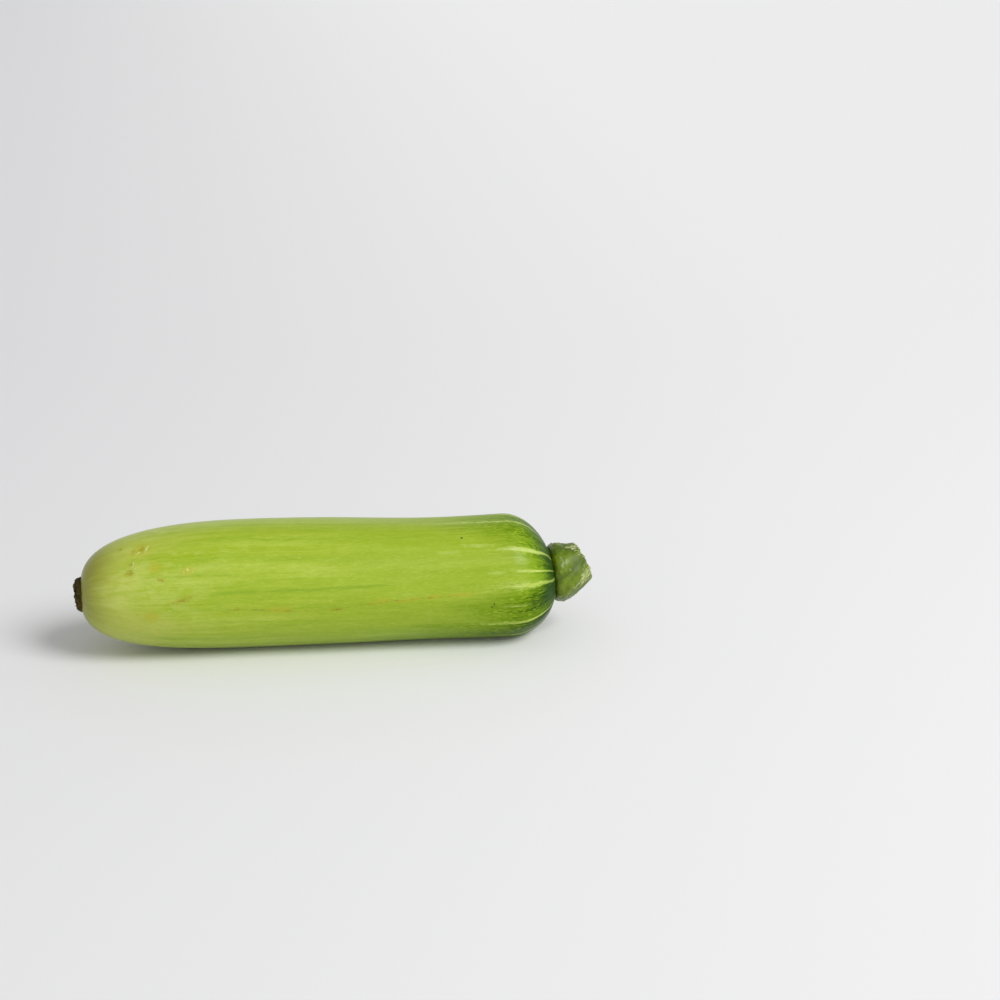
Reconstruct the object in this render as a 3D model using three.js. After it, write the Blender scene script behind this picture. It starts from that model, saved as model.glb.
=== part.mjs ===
// A Korean zucchini lying on its belly, as picked: the fruit, its cut stem and its blossom scar.
// Millimetres, +Z up, +X towards the stem. The origin is under the middle of the zucchini.
import * as THREE from "three";
import { mergeVertices } from "three/addons/utils/BufferGeometryUtils.js";

// Fruit. Heights and lengths are measured from its blossom end, on the surface that it lies on.
const fruitLength = 184.6;
const fruitRadius = 24.4;
const belly = { at: 70, by: 0.55, spread: 42 };
const waist = { at: 135, by: -0.75, spread: 27 };
const blossomCap = { reach: 69, bluntness: 2.94 };
const stemCap = { reach: 20.5, bluntness: 2.06 };
const axisHeight = { blossomEnd: 25.2, stemEnd: 23.35 };
const bow = { single: 2.6, double: 1.6 };
const blossomLean = { degrees: 1.2, reach: 30 };
const stemLean = { degrees: 6.5, reach: 27 };
const ribs = { count: 10, depth: 0.25, reach: 60 };
const fruitMesh = { columns: 60, rows: 46 };
const settleHeight = 0.15;

// Gap that keeps neighbouring solids apart.
const seamGap = 0.3;

// Stem: a flared foot on the fruit that narrows to a slanting cut.
const stemLength = 12.3;
const stemFoot = { lift: 0.4, radius: 11.2, side: 0.3 };
const stemOutline = [
  [11.6, 0.7],
  [11.75, 2.2],
  [11.4, 3.7],
  [10.5, 5.4],
  [9.3, 7.4],
  [8.3, 9.6],
  [7.6, 11.5],
  [7.2, stemLength],
];
const stemCutDish = 0.3;
const stemRise = 3.4;
const stemCutTilt = { up: 18, back: 4 };
const stemRidges = { count: 5, depth: 0.55, turn: 0.94 };
const stemColumns = 40;

// Blossom scar: a dried, crumpled disc with a hollow in its middle.
const scarDrop = 0.5;
const scarRadius = 6.7;
const scarOutline = [
  [7.0, 0.35],
  [6.3, 1.0],
  [4.9, 1.75],
  [3.5, 2.3],
  [2.2, 2.05],
];
const scarHollow = 1.5;
const scarCrumple = { waves: 7, depth: 0.28, ripples: 3, rippleDepth: 0.16 };
const scarColumns = 42;

const radians = THREE.MathUtils.degToRad;

// A smooth swelling of a given height around one place along the fruit.
function swelling(shape, along) {
  return shape.by * Math.exp(-(((along - shape.at) / shape.spread) ** 2));
}

// How far a rounded end has opened, from 0 at its tip to 1 where it meets the full girth.
function capOpening(cap, fromTip) {
  const inside = Math.max(1 - fromTip / cap.reach, 0);
  return (1 - inside ** cap.bluntness) ** (1 / cap.bluntness);
}

// How far a rounded end has fallen back at a given distance from the axis.
function capDepth(cap, radius) {
  const share = Math.min(radius / fruitRadius, 1);
  return cap.reach * (1 - (1 - share ** cap.bluntness) ** (1 / cap.bluntness));
}

function fruitRadiusAt(along) {
  const girth = fruitRadius + swelling(belly, along) + swelling(waist, along);
  return girth * capOpening(blossomCap, along) * capOpening(stemCap, fruitLength - along);
}

// Height of the fruit's axis above the surface, which falls a little towards the stem.
function axisHeightAt(along) {
  return THREE.MathUtils.lerp(axisHeight.blossomEnd, axisHeight.stemEnd, along / fruitLength);
}

// Sideways bow of the fruit's axis.
function bowAt(along) {
  const share = along / fruitLength;
  return bow.single * Math.sin(Math.PI * share) + bow.double * Math.sin(2 * Math.PI * share);
}

// Share of an end's lean that a place this far from the end takes on.
function leanShare(lean, fromEnd) {
  return Math.max(1 - fromEnd / lean.reach, 0) ** 1.5;
}

// Turns a profile of [radius, along] points into a closed body of revolution about X.
function turned(profile, columns) {
  const points = profile.map(([radius, along]) => new THREE.Vector2(radius, along));
  const geometry = new THREE.LatheGeometry(points, columns);
  geometry.rotateZ(-Math.PI / 2);
  return geometry;
}

// Moves every vertex of a turned body to where move(along, radius, around) puts it.
function reshaped(geometry, move) {
  geometry.deleteAttribute("normal");
  geometry.deleteAttribute("uv");
  const merged = mergeVertices(geometry, 1e-4);
  const position = merged.getAttribute("position");
  for (let i = 0; i < position.count; i += 1) {
    const y = position.getY(i);
    const z = position.getZ(i);
    const place = move(position.getX(i), Math.hypot(y, z), Math.atan2(z, y));
    position.setXYZ(i, place.x, place.y, place.z);
  }
  merged.computeVertexNormals();
  return merged;
}

// Stations along the fruit, closer together where its ends curve round.
function fruitProfile() {
  const profile = [[0, 0]];
  for (let row = 1; row < fruitMesh.rows; row += 1) {
    const share = row / fruitMesh.rows;
    const eased = share - Math.sin(2 * Math.PI * share) / (2 * Math.PI);
    const along = fruitLength * THREE.MathUtils.lerp(share, eased, 0.9);
    profile.push([fruitRadiusAt(along), along]);
  }
  profile.push([0, fruitLength]);
  return profile;
}

// The fruit bows sideways, its ends lean, faint ribs fade out from the stem, and what would
// reach below the surface is flattened on it.
function fruitPlace(along, radius, around) {
  const ribFade = Math.exp(-(fruitLength - along) / ribs.reach);
  const ribbed = radius * (1 + (ribs.depth / fruitRadius) * ribFade * Math.cos(ribs.count * around));
  const up = ribbed * Math.sin(around);
  const blossomShare = leanShare(blossomLean, along);
  const stemShare = leanShare(stemLean, fruitLength - along);
  const blossomShift = Math.tan(radians(blossomLean.degrees)) * blossomShare;
  const stemShift = Math.tan(radians(stemLean.degrees)) * stemShare;
  const x = along + (blossomShift - stemShift) * up;
  const y = ribbed * Math.cos(around) + bowAt(along);
  const height = axisHeightAt(along) + up;
  return new THREE.Vector3(x, y, height < settleHeight ? 0 : height);
}

function fruitGeometry() {
  return reshaped(turned(fruitProfile(), fruitMesh.columns), fruitPlace);
}

// The underside's rows are drawn far too deep, and stop on the fruit's rounded end.
const underside = (radius) => [0, 0.35, 0.65, 0.87, 1].map((share) => [share * radius, -10]);

// In the stem's own frame X points out of the fruit's end, and the origin is on its tip.
function stemPlace(along, radius, around) {
  const share = THREE.MathUtils.clamp(along / stemLength, 0, 1);
  const ridgeWave = Math.cos(stemRidges.count * (around - stemRidges.turn));
  const ridgeHeight = stemRidges.depth * THREE.MathUtils.lerp(0.45, 1, share);
  const ridged = radius * (1 + (ridgeHeight * ridgeWave) / stemFoot.radius);
  const up = ridged * Math.sin(around);
  const side = ridged * Math.cos(around);
  const tilt = radians(stemCutTilt.up) * share;
  const turn = radians(stemCutTilt.back) * share;
  const y = side * Math.cos(turn) + stemFoot.side;
  const z = up * Math.cos(tilt) + stemRise * share ** 2 + stemFoot.lift;
  const seat = seamGap - capDepth(stemCap, Math.hypot(y, z));
  const x = along - up * Math.sin(tilt) - side * Math.sin(turn);
  return new THREE.Vector3(Math.max(x, seat), y, z);
}

function stemGeometry() {
  const cut = [
    [3.8, stemLength - stemCutDish],
    [0, stemLength - stemCutDish],
  ];
  const profile = [...underside(stemFoot.radius), ...stemOutline, ...cut];
  return reshaped(turned(profile, stemColumns), stemPlace);
}

// In the scar's own frame X points out of the fruit's blossom end, and the origin is on its tip.
function scarPlace(along, radius, around) {
  const wave = scarCrumple.depth * Math.cos(scarCrumple.waves * around + 1);
  const ripple = scarCrumple.rippleDepth * Math.cos(scarCrumple.ripples * around);
  const share = radius / scarRadius;
  const crumpled = radius + (wave + ripple) * share ** 2;
  const raised = along + (wave - ripple) * share * 0.6;
  const y = crumpled * Math.cos(around);
  const z = crumpled * Math.sin(around);
  const seat = seamGap - capDepth(blossomCap, Math.hypot(y, z - scarDrop));
  const x = Math.max(along < 0 ? along : raised, seat);
  return new THREE.Vector3(x, y, z);
}

function scarGeometry() {
  const profile = [...underside(scarRadius), ...scarOutline, [0, scarHollow]];
  return reshaped(turned(profile, scarColumns), scarPlace);
}

function named(name, geometry, color, roughness) {
  const material = new THREE.MeshStandardMaterial({ color, roughness, metalness: 0 });
  const mesh = new THREE.Mesh(geometry, material);
  mesh.name = name;
  return mesh;
}

const fruit = named("fruit", fruitGeometry(), 0x9db84a, 0.4);

const stem = named("stem", stemGeometry(), 0x6d8c34, 0.45);
stem.position.set(fruitLength, bowAt(fruitLength), axisHeight.stemEnd);
stem.rotation.y = -radians(stemLean.degrees);

const scar = named("blossom_scar", scarGeometry(), 0x6a5238, 0.9);
scar.position.set(0, bowAt(0), axisHeight.blossomEnd - scarDrop);
scar.rotation.set(0, radians(blossomLean.degrees), Math.PI, "YZX");

const zucchini = new THREE.Group();
zucchini.add(fruit, stem, scar);

// The origin goes under the middle of the whole zucchini, at the height of the surface.
const reach = new THREE.Box3().setFromObject(zucchini, true);
const middle = reach.getCenter(new THREE.Vector3());
zucchini.position.set(-middle.x, -middle.y, -reach.min.z);

export default zucchini;
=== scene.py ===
# Korean zucchini: the finished look of the fruit, its stem and its blossom scar, on a pale floor.
# Lengths are in millimetres and angles in degrees, apart from the meshes, which are in metres.
import bpy
import math
import numpy as np
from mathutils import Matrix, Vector


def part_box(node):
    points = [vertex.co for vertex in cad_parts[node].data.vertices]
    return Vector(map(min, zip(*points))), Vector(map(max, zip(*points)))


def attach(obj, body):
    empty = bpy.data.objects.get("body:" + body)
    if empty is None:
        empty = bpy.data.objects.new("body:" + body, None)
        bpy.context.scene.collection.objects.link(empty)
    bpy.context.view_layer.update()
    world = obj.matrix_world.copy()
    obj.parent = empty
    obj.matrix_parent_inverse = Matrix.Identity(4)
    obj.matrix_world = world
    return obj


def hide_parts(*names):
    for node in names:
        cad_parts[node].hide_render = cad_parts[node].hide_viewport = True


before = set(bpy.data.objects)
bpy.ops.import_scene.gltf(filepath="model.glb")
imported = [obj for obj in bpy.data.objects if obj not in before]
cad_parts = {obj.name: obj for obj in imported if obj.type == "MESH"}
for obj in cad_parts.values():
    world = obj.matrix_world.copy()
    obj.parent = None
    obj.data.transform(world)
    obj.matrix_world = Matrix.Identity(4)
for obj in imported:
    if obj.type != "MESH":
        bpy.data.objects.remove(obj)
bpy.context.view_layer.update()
mm = 0.001
print("zucchini: frame loaded")

# The camera looks down at the fruit from its side, a little from the blossom end.
cameraView = {
    "heading": 8.63,
    "tilt": 18.0,
    "distance": 1111.3,
    "aim": (89.5, 164.4, 0.0),
    "lens": 86.4,
}


def addObject(name, data):
    added = bpy.data.objects.new(name, data)
    bpy.context.scene.collection.objects.link(added)
    return added


def addCamera():
    heading = math.radians(cameraView["heading"])
    tilt = math.radians(cameraView["tilt"])
    back = Vector((
        -math.sin(heading) * math.cos(tilt),
        -math.cos(heading) * math.cos(tilt),
        math.sin(tilt),
    ))
    camera = addObject("zucchiniCamera", bpy.data.cameras.new("zucchiniCamera"))
    camera.location = (Vector(cameraView["aim"]) + back * cameraView["distance"]) * mm
    camera.rotation_euler = back.to_track_quat("Z", "Y").to_euler()
    camera.data.lens = cameraView["lens"]
    camera.data.sensor_width = 36
    camera.data.clip_start = 0.05
    camera.data.clip_end = 60
    bpy.context.scene.camera = camera


# A wide, soft lamp high on the right, a weak fill from the front, and a pale sky that is brighter near
# the floor and on the stem side. The floor's colour is painted shade, darker to the left and at the back.
studio = {
    "lamps": {
        "softLamp": {"from": (0.62, -0.53, 0.78), "strength": 2.08, "spread": 32},
        "frontFill": {"from": (0.10, -0.92, 0.30), "strength": 0.36, "spread": 90},
    },
    "sky": (0.77, 0.38),  # level with the floor, overhead
    "skySides": (0.76, 1.14),  # share of that light from the blossom side, from the stem side
    "backdrop": (230, 230, 231),
    "floor": (252, 252, 252),
    "floorShade": (214, 214, 216),
    "floorReach": (430, 520),  # sideways, in depth
    "floorShares": (0.68, 0.32),  # of the change that lies sideways, in depth
    "floorSize": 12000,
}


# A colour as a screen shows it, from 0 to 255, to the linear one that a shader takes.
def paint(red, green, blue):
    shares = [value / 255 for value in (red, green, blue)]
    linear = [
        share / 12.92 if share <= 0.04045 else ((share + 0.055) / 1.055) ** 2.4
        for share in shares
    ]
    return (*linear, 1.0)


# A node tree, with one short call for each kind of node that the materials here are made of.
class Mixing:
    def __init__(self, tree, colours=None, base=None):
        self.tree = tree
        self.colours = colours
        self.colour = colours[base] if base else None

    def feed(self, socket, value):
        if isinstance(value, bpy.types.NodeSocket):
            self.tree.links.new(value, socket)
        else:
            socket.default_value = value

    def calc(self, operation, *values):
        node = self.tree.nodes.new("ShaderNodeMath")
        node.operation = operation
        for socket, value in zip(node.inputs, values):
            self.feed(socket, value)
        return node.outputs[0]

    def times(self, value, *others):
        for other in others:
            value = self.calc("MULTIPLY", value, other)
        return value

    # A value with others added to it, each times its own amount.
    def plus(self, value, *others):
        for other, by in others:
            value = self.calc("MULTIPLY_ADD", other, by, value)
        return value

    # The same with noises, which move it up and down.
    def swayed(self, value, *noises):
        return self.plus(value, *((self.calc("SUBTRACT", noise, 0.5), by) for noise, by in noises))

    def steer(self, operation, vector, other):
        node = self.tree.nodes.new("ShaderNodeVectorMath")
        node.operation = operation
        self.feed(node.inputs[0], vector)
        self.feed(node.inputs[1], other)
        return node.outputs["Value" if operation == "DOT_PRODUCT" else "Vector"]

    def stored(self, name, wide=False):
        node = self.tree.nodes.new("ShaderNodeAttribute")
        node.attribute_name = name
        return node.outputs["Vector" if wide else "Fac"]

    def noise(self, places, stretch, detail=2.0, roughness=0.5):
        node = self.tree.nodes.new("ShaderNodeTexNoise")
        node.inputs["Scale"].default_value = 1.0
        node.inputs["Detail"].default_value = detail
        node.inputs["Roughness"].default_value = roughness
        self.feed(node.inputs["Vector"], self.steer("MULTIPLY", places, stretch))
        return node.outputs["Fac"]

    def step(self, value, low, high, bottom=0.0, top=1.0):
        node = self.tree.nodes.new("ShaderNodeMapRange")
        node.interpolation_type = "SMOOTHSTEP"
        self.feed(node.inputs["Value"], value)
        for name, number in (("From Min", low), ("From Max", high), ("To Min", bottom), ("To Max", top)):
            node.inputs[name].default_value = number
        return node.outputs["Result"]

    def blend(self, share, under, over):
        node = self.tree.nodes.new("ShaderNodeMix")
        node.data_type = "RGBA"
        self.feed(node.inputs[0], share)
        self.feed(node.inputs[6], under)
        self.feed(node.inputs[7], over)
        return node.outputs[2]

    # Lays one more of the piece's colours over those laid so far.
    def coat(self, share, over):
        self.colour = self.blend(share, self.colour, self.colours[over])

    # The same, where a value goes from low to high.
    def tint(self, over, value, low, high, strength=1.0):
        self.coat(self.step(value, low, high, 0.0, strength), over)

    # Sets the shader's inputs by name, to a number or to what a node gives.
    def finish(self, looks):
        for name, value in looks.items():
            self.feed(self.tree.nodes["Principled BSDF"].inputs[name], value)

    def bump(self, height, depth):
        node = self.tree.nodes.new("ShaderNodeBump")
        node.inputs["Strength"].default_value = 1.0
        node.inputs["Distance"].default_value = depth * mm
        self.feed(node.inputs["Height"], height)
        return node.outputs["Normal"]


def newMaterial(name, colours=None, base=None):
    material = bpy.data.materials.new(name)
    material.use_nodes = True
    return material, Mixing(material.node_tree, colours, base)


def addLamp(name):
    plan = studio["lamps"][name]
    light = bpy.data.lights.new(name, "SUN")
    light.energy = plan["strength"]
    light.angle = math.radians(plan["spread"])
    addObject(name, light).rotation_euler = Vector(plan["from"]).to_track_quat("Z", "Y").to_euler()


def addSky():
    world = bpy.data.worlds.new("paleStudio")
    world.use_nodes = True
    bpy.context.scene.world = world
    tree = world.node_tree
    mixing = Mixing(tree)
    direction = tree.nodes.new("ShaderNodeTexCoord").outputs["Generated"]
    height = mixing.steer("DOT_PRODUCT", direction, (0, 0, 1))
    sideways = mixing.steer("DOT_PRODUCT", direction, (1, 0, 0))
    upLevel = mixing.step(height, 0, 1, *studio["sky"])
    sideLevel = mixing.step(sideways, -1, 1, *studio["skySides"])
    lit = tree.nodes["Background"]
    lit.inputs["Color"].default_value = (1, 1, 1, 1)
    mixing.feed(lit.inputs["Strength"], mixing.times(upLevel, sideLevel))
    seen = tree.nodes.new("ShaderNodeBackground")
    seen.inputs["Color"].default_value = paint(*studio["backdrop"])
    either = tree.nodes.new("ShaderNodeMixShader")
    path = tree.nodes.new("ShaderNodeLightPath")
    tree.links.new(path.outputs["Is Camera Ray"], either.inputs["Fac"])
    tree.links.new(lit.outputs["Background"], either.inputs[1])
    tree.links.new(seen.outputs["Background"], either.inputs[2])
    tree.links.new(either.outputs["Shader"], tree.nodes["World Output"].inputs["Surface"])


def addFloor():
    size = studio["floorSize"] / 2 * mm
    mesh = bpy.data.meshes.new("paleFloor")
    corners = [(-size, -size, 0), (size, -size, 0), (size, size, 0), (-size, size, 0)]
    mesh.from_pydata(corners, [], [(0, 1, 2, 3)])
    floor = addObject("paleFloor", mesh)
    material, mixing = newMaterial("paleFloor")
    places = material.node_tree.nodes.new("ShaderNodeTexCoord").outputs["Object"]
    wide, deep = (reach * mm for reach in studio["floorReach"])
    wideShare, deepShare = studio["floorShares"]
    # Painted shade: the floor's colour darkens away from the lamp, to the left and towards the back.
    sideways = mixing.step(mixing.steer("DOT_PRODUCT", places, (1, 0, 0)), -wide, wide, 0.0, wideShare)
    forwards = mixing.step(mixing.steer("DOT_PRODUCT", places, (0, -1, 0)), -deep, deep, 0.0, deepShare)
    nearLamp = mixing.calc("ADD", sideways, forwards)
    colour = mixing.blend(nearLamp, paint(*studio["floorShade"]), paint(*studio["floor"]))
    mixing.finish({"Base Color": colour, "Roughness": 0.7, "Specular IOR Level": 0.12})
    mesh.materials.append(material)


bpy.context.scene.view_settings.view_transform = "Standard"
addCamera()
for lampName in studio["lamps"]:
    addLamp(lampName)
addSky()
addFloor()
print("zucchini: camera, lamps, sky and floor are in place")


# Smooth noise from -1 to 1 at many places at once, the same on every run.
def softNoise(places, seed):
    size = 32
    lattice = np.random.default_rng(seed).uniform(-1, 1, (size, size, size))
    cell = np.floor(places).astype(int)
    part = places - cell
    part = part * part * (3 - 2 * part)
    total = np.zeros(places.shape[:-1])
    for corner in np.ndindex(2, 2, 2):
        weight = np.prod(np.where(corner, part, 1 - part), axis=-1)
        index = (cell + corner) % size
        total += weight * lattice[index[..., 0], index[..., 1], index[..., 2]]
    return total


def layeredNoise(places, seed, layers=3):
    return sum(softNoise(places * 2**layer, seed + layer) / 2**layer for layer in range(layers))


# Noises laid on top of each other, each given by how strong and how fine it is.
def unevenness(places, noises, seed, shift=0):
    layers = enumerate(noises)
    return sum(by * layeredNoise(places * fine + shift, seed + number) for number, (by, fine) in layers)


def smoothStep(low, high, value):
    share = np.clip((value - low) / (high - low), 0, 1)
    return share * share * (3 - 2 * share)


# How far one angle is from another, in radians from -pi to pi. The other is given in degrees.
def turnFrom(around, angle):
    return (around - np.radians(angle) + np.pi) % (2 * np.pi) - np.pi


def hump(distance, spread):
    return np.exp(-((distance / spread) ** 2))


# Places on rings about the X axis.
def onRings(along, around, radius):
    return np.stack(np.broadcast_arrays(along, radius * np.cos(around), radius * np.sin(around)), -1)


# UV corners of one face for each place in a grid. Each corner is a step away from its place.
def uvCorners(across, level, *steps):
    corners = [np.stack([across + right, level + down], -1) for right, down in steps]
    return np.stack(corners, -2).reshape(-1, 2)


# A closed skin from a grid of rings, with one point at each tip. Its UVs fill the whole square.
def wrapSkin(name, rings, tips, fields):
    rows, columns = rings.shape[:2]
    points = np.concatenate([[tips[0]], rings.reshape(-1, 3), [tips[1]]]) * mm
    row = np.arange(rows - 1)[:, None]
    column = np.arange(columns)[None, :]
    after = (column + 1) % columns
    corners = [row * columns + column, row * columns + after]
    corners += [(row + 1) * columns + after, (row + 1) * columns + column]
    quads = np.stack(np.broadcast_arrays(*corners), -1).reshape(-1, 4) + 1
    side = np.arange(columns)
    beside = (side + 1) % columns
    last = 1 + (rows - 1) * columns
    startFan = np.stack([np.zeros(columns, int), beside + 1, side + 1], -1)
    endFan = np.stack([np.full(columns, len(points) - 1), last + side, last + beside], -1)
    mesh = bpy.data.meshes.new(name)
    faces = quads.tolist() + startFan.tolist() + endFan.tolist()
    mesh.from_pydata(points.tolist(), [], faces)
    across = np.broadcast_to(column, (rows - 1, columns))
    level = np.broadcast_to(row, (rows - 1, columns))
    quadUv = uvCorners(across, level, (0, 1), (1, 1), (1, 2), (0, 2))
    startUv = uvCorners(side, 0 * side, (0.5, 0), (1, 1), (0, 1))
    endUv = uvCorners(side, 0 * side + rows, (0.5, 1), (0, 0), (1, 0))
    uv = np.concatenate([quadUv, startUv, endUv]) / [columns, rows + 1]
    layer = mesh.uv_layers.new(name="OFBake")
    layer.data.foreach_set("uv", uv.astype(np.float32).ravel())
    for key, values in fields.items():
        wide = values.ndim == 3
        kind = "FLOAT_VECTOR" if wide else "FLOAT"
        flat = values.reshape(-1, 3) if wide else values.reshape(-1, 1)
        startValue = values[0].mean(0).reshape(1, -1)
        endValue = values[-1].mean(0).reshape(1, -1)
        flat = np.concatenate([startValue, flat, endValue])
        layer = mesh.attributes.new(key, kind, "POINT")
        layer.data.foreach_set("vector" if wide else "value", flat.astype(np.float32).ravel())
    mesh.shade_smooth()
    return addObject(name, mesh)


# Rides a finished piece on the one body, in the place of its plain solid.
def settle(piece, material, node):
    piece.data.materials.append(material)
    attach(piece, "root")
    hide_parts(node)


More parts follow.
